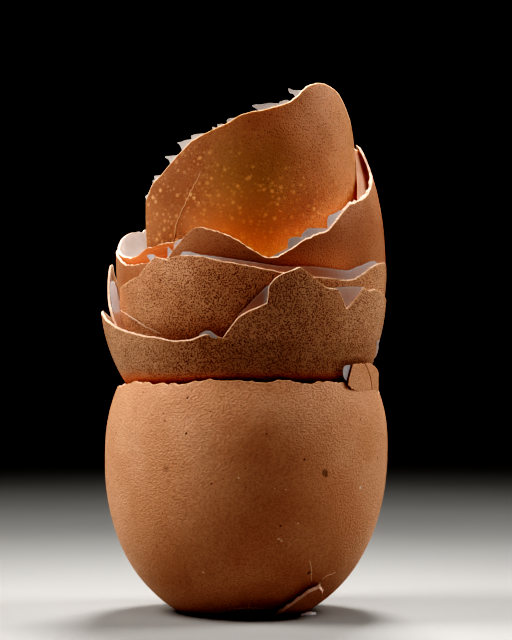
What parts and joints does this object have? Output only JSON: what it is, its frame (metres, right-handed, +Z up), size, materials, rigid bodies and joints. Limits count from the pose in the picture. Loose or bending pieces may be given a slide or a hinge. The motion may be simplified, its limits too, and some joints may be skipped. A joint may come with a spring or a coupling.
{
  "type": "cracked eggshell",
  "caption": "Tower of broken brown hen's eggshells wedged one in another, with jagged rims, pale inner membrane and a tall shard on top, standing on its crushed foot.",
  "frame": {"origin": "centre of the bottom cup's flattened foot, on the ground", "axes": "+Z up the tower, -Y towards the shown front, +X to the front view's right"},
  "size_m": [0.045, 0.0446, 0.0828],
  "materials": {
    "bottom_cup": "matt shell, fine pores",
    "second_shell": "matt shell, fine pores",
    "third_shell": "matt shell, fine pores",
    "fourth_shell": "matt shell, fine pores",
    "fifth_shell": "matt shell, fine pores",
    "sixth_shell": "matt shell, fine pores",
    "top_shard": "matt shell, fine pores",
    "rim_tab_left": "matt shell, fine pores",
    "rim_tab_right": "matt shell, fine pores",
    "foot_chip": "matt shell, fine pores",
    "foot_flake": "matt shell, fine pores"
  },
  "bodies": {
    "root": {"bottom_cup": "bottom_cup", "second_shell": "second_shell", "third_shell": "third_shell", "fourth_shell": "fourth_shell", "fifth_shell": "fifth_shell", "sixth_shell": "sixth_shell", "top_shard": "top_shard", "rim_tab_left": "rim_tab_left", "rim_tab_right": "rim_tab_right", "foot_chip": "foot_chip", "foot_flake": "foot_flake"}
  },
  "joints": []
}
